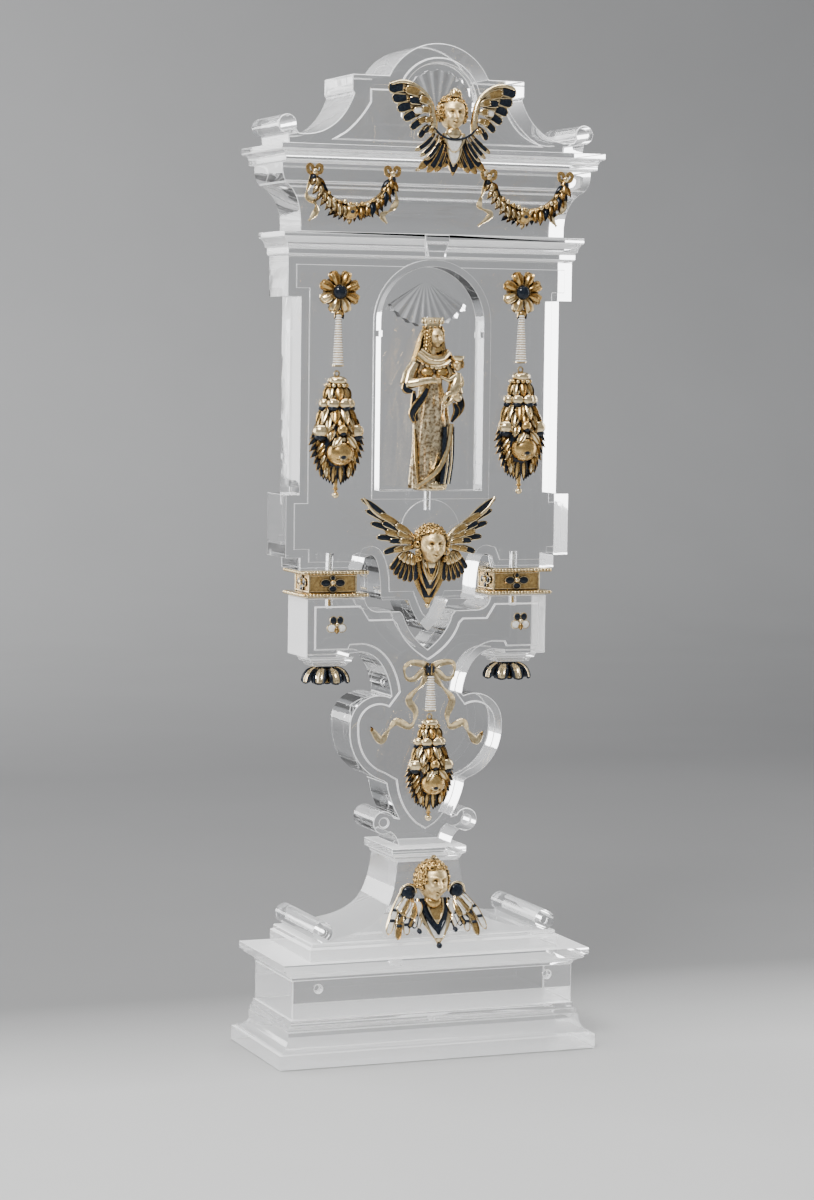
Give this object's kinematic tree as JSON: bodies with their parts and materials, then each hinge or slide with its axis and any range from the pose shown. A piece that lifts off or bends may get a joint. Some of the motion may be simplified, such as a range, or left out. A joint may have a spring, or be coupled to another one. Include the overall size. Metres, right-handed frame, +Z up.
{
  "type": "standing rock crystal shrine",
  "caption": "Standing altar-shaped shrine of clear rock crystal with gold and enamel mounts, a niche with a standing figure and child, and a curved pediment",
  "frame": {"origin": "centre of the flat underside of the lowest slab", "axes": "+X to the right seen from the front, the front faces -Y, +Z up"},
  "size_m": [0.1292, 0.0603, 0.3807],
  "materials": {
    "crystal": "clear rock crystal, cut and polished",
    "gold": "chased and burnished gold",
    "gold_enamel": "gold partly covered with dark and white enamel",
    "dark_enamel": "glossy dark blue-green enamel",
    "white_enamel": "glossy white enamel"
  },
  "bodies": {
    "root": {"base_foot": "crystal", "base_dado": "crystal", "base_cornice": "crystal", "stepped_plinth": "crystal", "scroll_skirt": "crystal", "abacus": "crystal", "lyre_bracket": "crystal", "bracket_pad_left": "crystal", "bracket_pad_right": "crystal", "main_panel": "crystal", "lower_entablature": "crystal", "frieze": "crystal", "top_cornice": "crystal", "pediment": "crystal", "collar_left": "gold_enamel", "collar_right": "gold_enamel", "pansy_left": "gold_enamel", "pansy_right": "gold_enamel", "top_cherub": "gold_enamel", "middle_cherub": "gold_enamel", "lower_cherub": "gold_enamel", "rosette_left": "gold_enamel", "rosette_right": "gold_enamel", "fruit_drop_left": "gold_enamel", "fruit_drop_right": "gold_enamel", "central_fruit_drop": "gold_enamel", "leaf_cup_left": "gold", "leaf_cup_right": "gold", "swag_left": "gold", "swag_right": "gold", "standing_figure_with_child": "gold", "bow_with_ribbons": "gold"}
  },
  "joints": []
}
